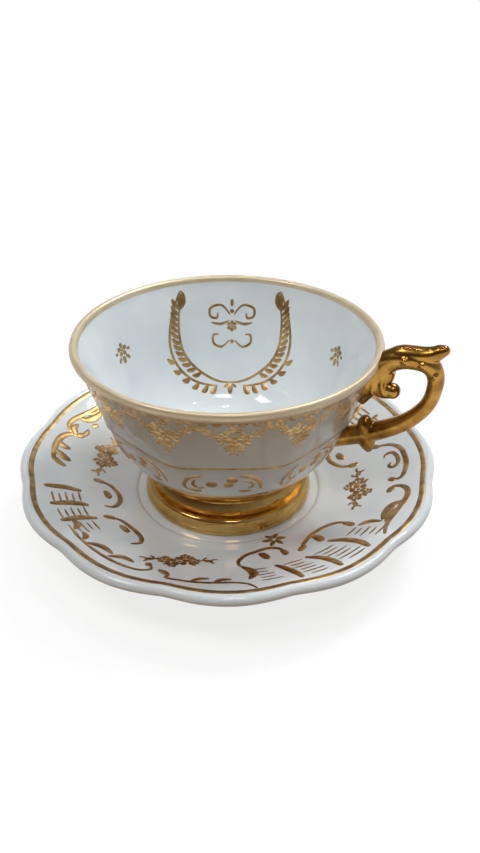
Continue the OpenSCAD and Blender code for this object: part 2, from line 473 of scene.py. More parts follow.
class Nodes:
    """The node tree of a material or of the world, which starts with its output and a coordinate."""

    def __init__(self, owner: bpy.types.Material | bpy.types.World, coordinates: str = "Object") -> None:
        """Empties the tree, and adds its output and its coordinates.

        Args:
            owner: The material or the world.
            coordinates: Texture coordinates on which its patterns lie.
        """
        owner.use_nodes = True
        self.tree = owner.node_tree
        self.tree.nodes.clear()
        self.output = self.add("OutputWorld" if isinstance(owner, bpy.types.World) else "OutputMaterial")
        self.place = self.add("TexCoord").outputs[coordinates]

    def add(self, kind: str, settings: dict | None = None, links: dict | None = None) -> bpy.types.Node:
        """Adds a node.

        Args:
            kind: Blender's type name of the node, without "ShaderNode" before it.
            settings: Values by the name of a property, or by the name or number of an input.
            links: Output sockets by the name or number of the input that they feed. A node stands for its
                first output.

        Returns:
            The node.
        """
        node = self.tree.nodes.new("ShaderNode" + kind)
        for name, value in (settings or {}).items():
            if isinstance(name, str) and hasattr(node, name):
                setattr(node, name, value)
            else:
                node.inputs[name].default_value = value
        for name, source in (links or {}).items():
            socket = source.outputs[0] if isinstance(source, bpy.types.Node) else source
            self.tree.links.new(socket, node.inputs[name])
        return node

    def show(self, shader: bpy.types.Node) -> None:
        """Makes a shader the one that is seen."""
        self.tree.links.new(shader.outputs[0], self.output.inputs["Surface"])


@dataclass(frozen=True)
class Glaze:
    """Hard-paste porcelain under a clear feldspar glaze, glost-fired.

    The body is a cool white. The glaze gives a sharp reflection with a slight orange-peel ripple.
    """

    name: str = "glazed_hard_paste_porcelain"
    white: str = "#E8EDEE"
    shade: str = "#DDE4E7"
    tone_span: tuple[float, float] = (0.35, 0.65)
    ior: float = 1.52
    cloud_mm: float = 16.0
    ripple_mm: float = 4.0
    ripple_depth_mm: float = 0.012
    ripple_strength: float = 0.35
    smoothest: float = 0.05
    dullest: float = 0.11

    def material(self) -> bpy.types.Material:
        """Builds the glaze.

        Returns:
            The material.
        """
        material = bpy.data.materials.new(self.name)
        nodes = Nodes(material)
        cloud = nodes.add("TexNoise", {"Scale": per(self.cloud_mm), "Detail": 2.0}, {"Vector": nodes.place})
        ripple = nodes.add("TexNoise", {"Scale": per(self.ripple_mm), "Detail": 1.0}, {"Vector": nodes.place})
        tone = nodes.add("ValToRGB", links={"Fac": cloud})
        two_tones(tone, self.shade, self.white, self.tone_span)
        gloss = nodes.add("MapRange", {"To Min": self.smoothest, "To Max": self.dullest}, {"Value": cloud})
        relief = {"Strength": self.ripple_strength, "Distance": self.ripple_depth_mm * MM}
        bump = nodes.add("Bump", relief, {"Height": ripple})
        links = {"Base Color": tone, "Roughness": gloss, "Normal": bump}
        nodes.show(nodes.add("BsdfPrincipled", {"IOR": self.ior}, links))
        return material


@dataclass(frozen=True)
class Gilding:
    """Gold fired on the glaze. Its gloss and wear follow how it was laid on; on the foot and the handle its
    tone also carries painted light and painted shade.
    """

    name: str
    light: str
    dark: str
    smoothest: float
    dullest: float
    tone_span: tuple[float, float] = (0.36, 0.64)
    patch_mm: float = 6.0
    grain_mm: float = 1.4
    grain_depth_mm: float = 0.006
    grain_strength: float = 0.6
    bare: str = ""
    wear_mm: float = 7.0
    wear_span: tuple[float, float] = (0.3, 0.7)
    kept_least: float = 0.1
    kept_most: float = 0.5

    def material(self) -> bpy.types.Material:
        """Builds the gilding. Where it has a bare colour, that shows through as a partly non-metal.

        Returns:
            The material.
        """
        material = bpy.data.materials.new(self.name)
        nodes = Nodes(material)
        patch = nodes.add("TexNoise", {"Scale": per(self.patch_mm), "Detail": 3.0}, {"Vector": nodes.place})
        grain = nodes.add("TexNoise", {"Scale": per(self.grain_mm), "Detail": 2.0}, {"Vector": nodes.place})
        tone = nodes.add("ValToRGB", links={"Fac": patch})
        two_tones(tone, self.dark, self.light, self.tone_span)
        gloss = nodes.add("MapRange", {"To Min": self.smoothest, "To Max": self.dullest}, {"Value": grain})
        relief = {"Strength": self.grain_strength, "Distance": self.grain_depth_mm * MM}
        bump = nodes.add("Bump", relief, {"Height": grain})
        links = {"Base Color": tone, "Roughness": gloss, "Normal": bump}
        if self.bare:
            wear = nodes.add("TexNoise", {"Scale": per(self.wear_mm), "Detail": 4.0}, {"Vector": nodes.place})
            limits = {"From Min": self.wear_span[0], "From Max": self.wear_span[1],
                      "To Min": self.kept_least, "To Max": self.kept_most}
            kept = nodes.add("MapRange", limits, {"Value": wear})
            worn = nodes.add("Mix", {"data_type": "RGBA", 6: linear(self.bare)}, {0: kept, 7: tone})
            links |= {"Base Color": worn.outputs[2], "Metallic": kept}
        nodes.show(nodes.add("BsdfPrincipled", {"Metallic": 1.0}, links))
        return material


# Liquid bright gold, banded on the turned foot and underside on a wheel: nearly a mirror. Its lighter colour
# is painted light, a lit copy of the same gold as on the handle.
BRIGHT_GOLD_PAINTED_LIGHT = Gilding("banded_liquid_bright_gold", "#E0BA76", "#C69F5C", 0.07, 0.15)
# The same gold brushed by hand over the cast handle: softer in gloss. Its darker, browner colour is painted
# shade, a shaded copy of the banded gold.
BRUSHED_GOLD_PAINTED_SHADE = Gilding("hand_brushed_gold_painted_shade", "#BA8D45", "#7E5822", 0.2, 0.28, grain_depth_mm=0.004)
# Printed gold transfer, fired on the glaze: satin, and thinner than the banded gold.
PRINTED_GOLD = Gilding("fired_gold_transfer_print", "#D0AE78", "#A17E50", 0.3, 0.46, patch_mm=3.0,
                       grain_mm=0.5, grain_depth_mm=0.01)
# Gold rubbed thin on the lip by lips and cloths, so that the white under it takes most of its colour.
WORN_GOLD = Gilding("rubbed_gold_on_lip", "#DAC69E", "#C9B184", 0.32, 0.44, patch_mm=9.0, grain_mm=1.2,
                    grain_depth_mm=0.005, bare="#DECFB3")


@dataclass
class Palette:
    """The finished materials, made once and shared by the pieces."""

    glaze: bpy.types.Material = field(default_factory=Glaze().material)
    bright: bpy.types.Material = field(default_factory=BRIGHT_GOLD_PAINTED_LIGHT.material)
    brushed: bpy.types.Material = field(default_factory=BRUSHED_GOLD_PAINTED_SHADE.material)
    printed: bpy.types.Material = field(default_factory=PRINTED_GOLD.material)
    worn: bpy.types.Material = field(default_factory=WORN_GOLD.material)


def finish_piece(piece: Piece, body: str, material: bpy.types.Material, *replaced: str) -> None:
    """Gives a piece its finish and the body that it rides on.

    Args:
        piece: The finished mesh piece.
        body: CAD body that carries it.
        material: Its material.
        *replaced: CAD nodes that it stands for.
    """
    piece.data.materials.clear()
    piece.data.materials.append(material)
    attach(piece, body)
    if replaced:
        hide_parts(*replaced)
    log.info("%s on %s: %d faces", piece.name, body, len(piece.data.polygons))


def box_mm(node: str) -> np.ndarray:
    """Lowest and highest corner of a CAD node, in mm."""
    return np.array([list(corner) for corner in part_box(node)]) / MM


@dataclass
class Bowl:
    """The panelled bowl of the cup and the gold on its walls."""

    palette: Palette
    lip_t: float = 2.0
    wall_t: float = 2.2
    belly_r: float = 34.2
    belly_drop: float = 20.0
    waist_r: float = 18.7
    panel_depth: float = 2.2
    floor_t: float = 3.0
    panels: int = 8
    steps_round: int = 256
    corner_soft_deg: float = 3.5
    mean_inner_r: float = 34.0
    upper_shares: Points = ((0.8, 0.87, 0), (0.7, 0.8, 0.14), (0.52, 0.6, 0.36), (0.3, 0.34, 0.64),
                            (0.14, 0.16, 0.84), (0, 0, 1))
    lower_shares: Points = ((0.95, 0.03, 0.92), (0.9, 0.2, 0.8), (0.79, 0.41, 0.64), (0.62, 0.63, 0.48),
                            (0.39, 0.84, 0.28), (0.15, 0.95, 0.08), (0, 1, 0))
    inner_shares: Points = ((0.37, 1, 0), (0.76, 0.985, 0), (0.93, 0.94, 0.1), (0.985, 0.83, 0.3),
                            (1, 0.66, 0.45), (1, 0.46, 0.45), (1, 0.25, 0.3), (1.02, 0.07, 0))
    lip_shares: Points = ((1, 0.6), (0.86, 0.22), (0.6, 0.03), (0.36, 0), (0.14, 0.14), (0, 0.46),
                          (0.04, 0.8), (0.24, 1.1))

    def __post_init__(self) -> None:
        """Takes the main sizes from the CAD bowl and draws the outlines."""
        low, high = box_mm("cup_bowl")
        self.rim_r, self.base_z, self.rim_z = high[0], low[2], high[2]
        self.belly_z = self.rim_z - self.belly_drop
        lower_h = self.belly_z - self.base_z
        depth = self.rim_z - self.base_z - self.floor_t
        outer = [(self.belly_r + a * (self.rim_r - self.belly_r), self.belly_z + b * self.belly_drop,
                  c * self.panel_depth) for a, b, c in self.upper_shares]
        outer += [(self.waist_r + a * (self.belly_r - self.waist_r), self.belly_z - b * lower_h,
                   c * self.panel_depth) for a, b, c in self.lower_shares]
        self.outer = smooth_line(outer, steps=6)
        inner = []
        for a, b, c in self.inner_shares:
            z = self.rim_z - b * depth
            inner.append((a * (self.at(self.outer, z, 0) - self.wall_t), z, c * self.panel_depth))
        self.inner = smooth_line(inner, steps=6)
        self.lip = smooth_line([(self.rim_r - a * self.lip_t, self.rim_z - b * self.lip_t, 0)
                                for a, b in self.lip_shares], steps=3)

    @staticmethod
    def at(line: np.ndarray, z: np.ndarray | float, column: int) -> np.ndarray:
        """Value of one column of an outline at height z."""
        order = np.argsort(line[:, 1], kind="stable")
        return np.interp(z, line[order, 1], line[order, column])

    def flat_share(self, angle: np.ndarray) -> np.ndarray:
        """Share of the panels' depth at an angle: 1 in the middle of a panel, near 0 at its corners.

        Args:
            angle: Angles in radians.

        Returns:
            The shares.
        """
        half = 180 / self.panels
        off_corner = np.abs((np.degrees(angle) + half) % (2 * half) - half)
        soft = np.sqrt(off_corner**2 + self.corner_soft_deg**2)
        off_middle = np.radians(np.clip(half - soft, 0, half))
        return 1 - (1 / np.cos(off_middle) - 1) / (1 / math.cos(math.radians(half)) - 1)

    def wall(self, line: np.ndarray, angle: np.ndarray, z: np.ndarray) -> np.ndarray:
        """Radius of the wall drawn by an outline, at angles in radians and heights in mm."""
        return self.at(line, z, 0) - self.at(line, z, 2) * self.flat_share(angle)

    def on_wall(self, line: np.ndarray, mean_r: float, centre_deg: float, side: int) -> Wrap:
        """Makes the wrap that lays a drawing on a wall. Its x runs round, and its y is the height.

        Args:
            line: The wall's outline.
            mean_r: Radius on which the drawing's x is true to size.
            centre_deg: Angle at which x is zero.
            side: 1 on the outside, and -1 inside, where x runs clockwise as seen from above.

        Returns:
            The wrap.
        """
        def wrap(flat: np.ndarray) -> np.ndarray:
            """Lays the drawing on the wall.

            Args:
                flat: Rows of x, y and height over the wall, in mm.

            Returns:
                Places in mm.
            """
            angle = math.radians(centre_deg) + side * flat[:, 0] / mean_r
            radius = self.wall(line, angle, flat[:, 1]) + side * flat[:, 2]
            return np.c_[radius * np.cos(angle), radius * np.sin(angle), flat[:, 1]]
        return wrap

    def on_outside(self, mean_r: float, centre_deg: float = 0.0) -> Wrap:
        """Wrap of a drawing on the outside."""
        return self.on_wall(self.outer, mean_r, centre_deg, 1)

    def on_inside(self, centre_deg: float) -> Wrap:
        """Wrap of a drawing on the inside."""
        return self.on_wall(self.inner, self.mean_inner_r, centre_deg, -1)

    def shell(self) -> Piece:
        """Turns the bowl and presses its panels, from the inner floor over the lip to the base.

        Returns:
            The piece, in metres.
        """
        line = np.vstack([[0, self.inner[0, 1], 0], self.inner, self.lip, self.outer, [0, self.base_z, 0]])
        piece = lathe("cup_bowl_glazed", line, self.steps_round)
        press(piece, self.flat_share)
        smooth_shaded(piece, crease_deg=35)
        return piece

    def lip_band(self) -> Piece:
        """Gold film over the whole rounded lip, and a little way down the inside.

        Returns:
            The piece, in metres.
        """
        film, inwards, down = 0.06, 0.12, 0.5
        line = np.vstack([[self.lip[0, 0] - inwards, self.lip[0, 1] - down, 0], self.lip])
        run = np.gradient(line[:, :2], axis=0)
        out = np.c_[-run[:, 1], run[:, 0]] / np.linalg.norm(run, axis=1)[:, None]
        outer, inner = line.copy(), line[::-1].copy()
        outer[:, :2] += out * film
        inner[:, :2] -= out[::-1] * film
        piece = lathe("cup_lip_gold_band", np.vstack([outer, inner]), self.steps_round, closed=True)
        smooth_shaded(piece, crease_deg=60)
        return piece

    def underside_gold(self) -> Piece:
        """Bright gold from the foot up the underside of the bowl, with an edge that dips in each panel.

        Returns:
            The piece, in metres.
        """
        film, rings, highest, dip = 0.05, 24, 10.4, 2.4
        piece = sleeve("cup_underside_gold", rings, self.steps_round, "NOTHING")
        points = mesh_points(piece)
        angle = np.arctan2(points[:, 1], points[:, 0])
        edge = self.base_z + highest - dip * self.flat_share(angle)
        z = self.base_z + points[:, 2] / rings * (edge - self.base_z)
        radius = self.wall(self.outer, angle, z) + film
        set_mesh_points(piece, np.c_[radius * np.cos(angle), radius * np.sin(angle), z] * MM)
        turn_outwards(piece)
        apply_modifier(piece, "SOLIDIFY", thickness=2 * film * MM, offset=-1.0)
        smooth_shaded(piece)
        return piece

    @staticmethod
    def ruled(mean_r: float, z: float, width: float) -> Stroke:
        """A line of even width round the whole wall at height z."""
        return Stroke(width, tuple((mean_r * math.radians(a), z) for a in range(0, 361, 3)), Taper.EVEN)

    def belly_line(self) -> Piece:
        """Thin gold line along the edge between the upper wall and the belly.

        Returns:
            The piece, in metres.
        """
        up, width = 0.1, 0.85
        line = self.ruled(self.belly_r, self.belly_z + up, width)
        return gold_strokes("cup_belly_gold_line", [line], self.on_outside(self.belly_r), spacing=1.0,
                            raised=0.15)

    def rim_border(self) -> Piece:
        """Narrow border of small leaves just under the lip, on a thin line.

        Returns:
            The piece, in metres.
        """
        mean_r, count, z = 38.6, 84, self.rim_z - 3.7
        pitch = 2 * math.pi * mean_r / count
        rule_up, rule_width = 0.75, 0.45
        strokes = [self.ruled(mean_r, z + rule_up, rule_width)]
        for k in range(count):
            strokes.append(blade(1.0, (0.0, 0.7), (0.8, 0.1), (1.9, -0.7)).placed(k * pitch, z))
            strokes.append(dab(k * pitch + 1.8, z + 0.3, 1.0, 0.8))
        return gold_strokes("cup_rim_leaf_border", strokes, self.on_outside(mean_r), spacing=0.7)

    def garland(self) -> Piece:
        """Garland round the upper wall: flower clusters that hang from leafy swags.

        Returns:
            The piece, in metres.
        """
        mean_r, count, first_deg, z = 37.4, 14, -65.2, self.rim_z - 9.0
        cluster = posy(((0, -0.5, 2.2), (-2.9, 0.9, 1.6), (2.8, 0.7, 1.5), (-1.4, -2.9, 1.3),
                        (1.5, -2.8, 1.3)))
        cluster += blossom(0.3, 3.7, 1.3, fullness=0.9) + blossom(-1.6, 2.9, 0.9, fullness=0.9)
        tail = [(0.0, -2.2), (0.15, -3.6), (-0.1, -5.2)]
        cluster += leafy(tail, width=0.5, leaf=1.6, pairs=2, lean_deg=46)
        for side in (-1, 1):
            cluster += [dab(side * 3.1, -1.2, 1.8, 0.9, -side * 30),
                        dab(side * 1.7, 2.2, 1.6, 0.8, side * 60)]
            swag = [(side * 4.0, 1.0), (side * 5.2, 1.8), (side * 6.5, 3.5), (side * 7.8, 4.5)]
            cluster += leafy(swag, width=0.5, leaf=1.7, pairs=4, lean_deg=40)
        cluster.append(swell(0.7, (7.0, 4.9), (7.8, 3.6), (9.0, 3.1), (9.6, 4.0), (8.9, 4.6)))
        pitch = 2 * math.pi * mean_r / count
        strokes = row_of(cluster, (k * pitch for k in range(count)), z)
        return gold_strokes("cup_garland_print", strokes, self.on_outside(mean_r, first_deg))

    def belly_scrolls(self) -> Piece:
        """Cartouche of scrolls in each lower panel, between the belly line and the gold of the underside.

        Returns:
            The piece, in metres.
        """
        mean_r, z, print_turn_deg = 31.5, self.belly_z - 5.5, -2.2
        cartouche = [
            swell(1.0, (-5.4, 2.7), (-8.2, 2.0), (-9.8, -0.6), (-9.2, -2.7), (-6.0, -3.1)),
            swell(0.9, (-6.9, 1.5), (-7.6, -0.3), (-6.4, -1.9), (-4.9, -1.4)),
            blade(1.2, (-9.0, -2.6), (-7.4, -3.2), (-5.6, -3.0)),
            dab(-3.0, -0.2, 3.0, 2.2), dab(2.2, 1.5, 2.8, 2.2), dab(1.3, -0.4, 2.6, 2.0, 20),
            swell(1.2, (4.0, 2.9), (6.6, 2.5), (8.8, 0.6), (9.6, -2.4)),
            swell(0.9, (5.2, 1.1), (6.8, 0.6), (7.4, -1.0), (6.2, -1.9)),
            blade(1.2, (3.8, -3.0), (5.6, -3.3), (7.4, -2.8)),
        ]
        pitch, shift = 2 * math.pi * mean_r / self.panels, mean_r * math.radians(print_turn_deg)
        strokes = row_of(cartouche, ((k + 0.5) * pitch + shift for k in range(self.panels)), z)
        return gold_strokes("cup_belly_scroll_print", strokes, self.on_outside(mean_r))

    def wreath(self) -> Piece:
        """Laurel wreath on the inside, opposite the drinker, round a small spray.

        Returns:
            The piece, in metres.
        """
        centre_deg = 110.8
        outer = ((5.2, 22.6), (9.8, 23.2), (14.0, 24.6), (17.6, 27.6), (19.8, 31.6), (20.3, 35.8),
                 (19.3, 40.6), (17.6, 44.8), (15.6, 48.0), (14.4, 50.0))
        inner = ((0.0, 23.4), (4.0, 23.7), (8.4, 25.2), (12.6, 28.0), (15.3, 31.6), (16.4, 35.4),
                 (16.4, 39.6), (15.8, 43.4), (14.8, 46.8))
        half = [swell(0.9, *outer), swell(0.9, *inner)]
        rail, edge = smooth_line(inner, steps=12), smooth_line(outer, steps=12)
        rail_first, rail_step, rail_lean_deg = 30, 5, 42
        edge_last, edge_step, edge_lean_deg = 48, 9, 38
        for i in range(rail_first, len(rail) - 4, rail_step):
            leaf = blade(1.35, (0.0, 0.0), (1.9, -0.4), (3.7, -0.1))
            half.append(leaf.placed(*rail[i], turn_deg=heading(rail, i, 2) - rail_lean_deg))
        for i in range(0, edge_last, edge_step):
            leaf = blade(1.5, (0.0, 0.4), (1.7, -0.3), (3.6, 0.3))
            half.append(leaf.placed(*edge[i], turn_deg=heading(edge, i) - edge_lean_deg))
        half += [blade(0.9, (15.4, 45.0), (13.6, 46.8), (13.4, 49.2), (14.3, 50.4)),
                 blade(1.7, (15.4, 45.6), (14.5, 47.6), (14.4, 49.8))]
        tie = [blade(2.2, (0.0, 23.0), (0.0, 21.8), (0.0, 20.4)), dab(1.6, 22.6, 2.0, 0.9, -24),
               dab(-1.6, 22.6, 2.0, 0.9, 24)]
        strokes = half + group(half, flip=True) + tie
        return gold_strokes("cup_inside_wreath_print", strokes, self.on_inside(centre_deg), spacing=0.5)

    def spray(self) -> Piece:
        """Small symmetric spray of scrolls and blossoms inside the wreath.

        Returns:
            The piece, in metres.
        """
        centre_deg = 110.0
        half = [
            swell(0.8, (0.6, 43.0), (3.2, 45.6), (6.4, 44.9), (6.6, 42.6), (4.7, 42.0), (4.3, 43.5)),
            swell(0.8, (0.8, 35.4), (3.4, 33.5), (6.0, 34.6), (6.0, 37.0), (4.2, 37.2)),
            blade(0.9, (0.8, 41.2), (3.6, 40.2), (6.6, 40.8)),
        ]
        strokes = half + group(half, flip=True) + blossom(0, 39.6, 1.7, petals=6, fullness=0.9)
        strokes += [dab(0, 43.9, 1.2, 1.2), dab(0, 35.0, 1.3, 1.3), dab(0, 46.2, 2.0, 1.0, 90)]
        return gold_strokes("cup_inside_spray_print", strokes, self.on_inside(centre_deg))

    def inside_sprigs(self) -> Piece:
        """Four single sprigs on the inside, two on each side of the wreath.

        Returns:
            The piece, in metres.
        """
        z, places_deg = 39.6, (175.5, 240.0, -19.0, 45.0)
        sprig = blossom(0, 1.0, 2.0, fullness=0.9) + [
            dab(0, -1.9, 2.2, 1.4, 90), dab(-1.7, -1.5, 2.0, 1.0, 40), dab(1.7, -1.5, 2.0, 1.0, -40),
            dab(2.6, 0.6, 1.3, 0.9), dab(-2.6, 0.6, 1.3, 0.9)]
        strokes = row_of(sprig, (-self.mean_inner_r * math.radians(place) for place in places_deg), z)
        return gold_strokes("cup_inside_sprig_print", strokes, self.on_inside(0.0))

    def build(self) -> None:
        """Makes the bowl with all the gold on it."""
        finish_piece(self.shell(), "cup", self.palette.glaze, "cup_bowl")
        finish_piece(self.lip_band(), "cup", self.palette.worn)
        finish_piece(self.underside_gold(), "cup", self.palette.bright)
        for piece in (self.belly_line(), self.rim_border(), self.garland(), self.belly_scrolls(),
                      self.wreath(), self.spray(), self.inside_sprigs()):
            finish_piece(piece, "cup", self.palette.printed)


@dataclass
class Foot:
    """The gold foot: a waist, a moulded ring and a hollow underside."""

    palette: Palette
    waist_r: float = 18.7
    ring_h: float = 4.6
    foot_t: float = 3.4
    steps_round: int = 192
    stem_shares: Points = ((0, 1), (-0.06, 0.8), (0, 0.5), (0.22, 0.14), (0.42, 0))
    ring_shares: Points = ((0.62, 1), (0.78, 0.94), (0.88, 0.78), (0.95, 0.52), (1, 0.24), (1, 0.1),
                           (0.94, 0))
    hollow_shares: Points = ((1, 0), (0.92, 0.46), (0.74, 0.82), (0.4, 0.96), (0, 1))

    def build(self) -> None:
        """Turns the foot from its outline."""
        low, high = box_mm("cup_foot")
        radius, height = high[0], high[2] - low[2]
        flare, hollow_r = radius - self.waist_r, radius - self.foot_t
        stem = smooth_line([(self.waist_r + a * flare, self.ring_h + b * (height - self.ring_h))
                            for a, b in self.stem_shares], steps=6)
        ring = smooth_line([(self.waist_r + a * flare, b * self.ring_h) for a, b in self.ring_shares],
                           steps=5)
        hollow = smooth_line([(a * hollow_r, b * (height - self.foot_t)) for a, b in self.hollow_shares],
                             steps=5)
        line = np.vstack([[0, height], stem, ring, hollow])
        line[:, 1] += low[2]
        piece = lathe("cup_foot_gilt", np.c_[line, np.zeros(len(line))], self.steps_round)
        smooth_shaded(piece, crease_deg=35)
        finish_piece(piece, "cup", self.palette.bright, "cup_foot")


@dataclass
class Handle:
    """The cast scroll handle: its scrolls are luted into one form and cut to the wall of the bowl.

    A scroll's rows are shares: place along the reach, place up the bowl's upper wall, thickness and width.
    """

    palette: Palette
    bowl: Bowl
    reach: float = 55.4
    arm_t: float = 4.2
    arm_w: float = 4.8
    sides: int = 24
    voxel_mm: float = 0.2
    smoothings: int = 12
    cutter_steps: int = 192
    sunk_mm: float = 0.02
    arm_shares: Points = (
        (0.08, 0.58, 1.5, 1.1), (0.21, 0.78, 1.5, 1.1), (0.34, 0.98, 1.42, 1.14), (0.49, 1.07, 1.3, 1.18),
        (0.67, 1.085, 1.2, 1.12), (0.82, 1.035, 1.12, 1.04), (0.895, 0.9, 0.98, 0.96),
        (0.9, 0.72, 0.92, 0.94), (0.86, 0.53, 0.92, 0.93), (0.76, 0.355, 0.96, 0.96), (0.62, 0.2, 1.04, 1),
        (0.46, 0.08, 1.12, 1.04), (0.29, -0.02, 1.2, 1.12), (0.12, -0.1, 1.2, 1.2), (-0.2, -0.24, 1.2, 1.2))
    spur_shares: Points = ((0.3, 0.98, 1.1, 0.9), (0.47, 1.115, 1.08, 0.94), (0.6, 1.14, 1.06, 0.98),
                           (0.73, 1.155, 1, 0.96), (0.83, 1.185, 0.96, 0.88), (0.9, 1.235, 0.84, 0.78),
                           (0.935, 1.252, 0.7, 0.66), (0.95, 1.26, 0.5, 0.46))
    volute_shares: Points = ((0.31, 0.98, 1.5, 0.92), (0.28, 0.85, 1.76, 0.9), (0.26, 0.71, 1.72, 0.86),
                             (0.33, 0.62, 1.3, 0.82), (0.42, 0.61, 1, 0.8))
    leaf_shares: Points = ((0.2, 0.72, 1.3, 0.86), (0.13, 0.5, 0.95, 0.72), (0.1, 0.35, 0.3, 0.3))
    lobe_up_shares: Points = ((0.21, -0.04, 1.2, 1.16), (0.18, 0.05, 1.08, 1.06), (0.17, 0.12, 0.84, 0.86),
                              (0.165, 0.175, 0.4, 0.44))
    lobe_down_shares: Points = ((0.2, -0.06, 1.3, 1.2), (0.21, -0.16, 1.16, 1.1), (0.235, -0.25, 0.84, 0.84),
                                (0.26, -0.33, 0.36, 0.4))
    # Ribs of the leaf at the upper root, on both sides, each with the share of the arm's width to the side
    rib_shares: Sequence[tuple[Points, float]] = (
        (((0.35, 0.88, 0.2, 0.2), (0.32, 0.74, 0.28, 0.26), (0.34, 0.62, 0.24, 0.24),
          (0.37, 0.57, 0.14, 0.14)), 0.37),
        (((0.29, 0.9, 0.2, 0.2), (0.24, 0.76, 0.3, 0.28), (0.22, 0.64, 0.28, 0.26),
          (0.23, 0.55, 0.16, 0.16)), 0.41),
        (((0.22, 0.84, 0.2, 0.2), (0.16, 0.7, 0.3, 0.28), (0.12, 0.58, 0.28, 0.26),
          (0.11, 0.5, 0.16, 0.16)), 0.41))
    # Beads: place, share of the arm's width to the side, and diameter as a share of the arm's thickness
    bead_shares: Points = ((0.44, 0.61, 0, 0.98), (0.94, 1.258, 0, 0.64), (0.545, 1.1, 0.5, 0.46),
                           (0.74, 1.08, 0.46, 0.44), (0.895, 0.96, 0.4, 0.42))

    def place(self, a: float, b: float) -> tuple[float, float]:
        """Real x and z of shares of the reach and of the upper wall's height."""
        start = self.bowl.belly_r
        return start + a * (self.reach - start), self.bowl.belly_z + b * self.bowl.belly_drop

    def scroll(self, name: str, shares: Points, aside: float = 0.0) -> Piece:
        """Bends a rod along a scroll.

        Args:
            name: Name of the piece.
            shares: Rows of the scroll.
            aside: Share of the arm's width that the scroll lies to the side.

        Returns:
            The closed scroll, in metres.
        """
        s = smooth_line([(*self.place(a, b), t * self.arm_t, w * self.arm_w) for a, b, t, w in shares],
                        steps=5)
        run = np.gradient(s[:, :2], axis=0)
        run /= np.linalg.norm(run, axis=1)[:, None]
        piece = sleeve(name, len(s) - 1, self.sides, "NGON")
        rod = mesh_points(piece)
        k = np.clip(np.round(rod[:, 2]).astype(int), 0, len(s) - 1)
        lift, side = rod[:, 0] * s[k, 2] / 2, rod[:, 1] * s[k, 3] / 2 + aside * self.arm_w
        points = np.c_[s[k, 0] - run[k, 1] * lift, side, s[k, 1] + run[k, 0] * lift]
        set_mesh_points(piece, points * MM)
        turn_outwards(piece)
        return piece

    def beads(self) -> list[Piece]:
        """Beads at the tips of the volute and the spur, and on both sides of the arm.

        Returns:
            The beads, in metres.
        """
        made = []
        for a, b, side, size in self.bead_shares:
            x, z = self.place(a, b)
            for sign in ((-1, 1) if side else (1,)):
                bpy.ops.object.select_all(action="DESELECT")
                bpy.ops.mesh.primitive_uv_sphere_add(
                    segments=20, ring_count=12, radius=size * self.arm_t / 2 * MM,
                    location=(x * MM, sign * side * self.arm_w * MM, z * MM))
                bpy.ops.object.transform_apply(location=True, rotation=True, scale=True)
                made.append(bpy.context.object)
        return made

    def cutter(self) -> Piece:
        """The bowl's outer form, filled and carried up past the rim.

        Returns:
            The piece, in metres.
        """
        bowl = self.bowl
        clear_z = bowl.rim_z + bowl.belly_drop
        lip_side = bowl.lip[np.argmax(bowl.lip[:, 0]):]
        line = np.vstack([[0, clear_z, 0], [bowl.rim_r, clear_z, 0], lip_side, bowl.outer,
                          [0, bowl.base_z, 0]])
        piece = lathe("handle_cutter", line, self.cutter_steps)
        press(piece, bowl.flat_share, gap_mm=self.sunk_mm)
        return piece

    def build(self) -> None:
        """Lutes the scrolls and beads into one handle, smooths it and cuts its roots to the bowl."""
        scrolls = {"cup_handle_gilt": self.arm_shares, "spur": self.spur_shares,
                   "volute": self.volute_shares, "leaf": self.leaf_shares,
                   "lobe_up": self.lobe_up_shares, "lobe_down": self.lobe_down_shares}
        parts = [self.scroll(name, shares) for name, shares in scrolls.items()] + self.beads()
        parts += [self.scroll("rib", shares, side * aside) for shares, aside in self.rib_shares
                  for side in (-1, 1)]
        only(parts[0])
        for part in parts:
            part.select_set(True)
        bpy.ops.object.join()
        piece = bpy.context.object
        apply_modifier(piece, "REMESH", mode="VOXEL", voxel_size=self.voxel_mm * MM)
        apply_modifier(piece, "SMOOTH", factor=0.5, iterations=self.smoothings)
        cutter = self.cutter()
        apply_modifier(piece, "BOOLEAN", operation="DIFFERENCE", object=cutter, solver="EXACT")
        bpy.data.objects.remove(cutter)
        turn_outwards(piece)
        smooth_shaded(piece, crease_deg=60)
        finish_piece(piece, "cup", self.palette.brushed, "cup_handle")


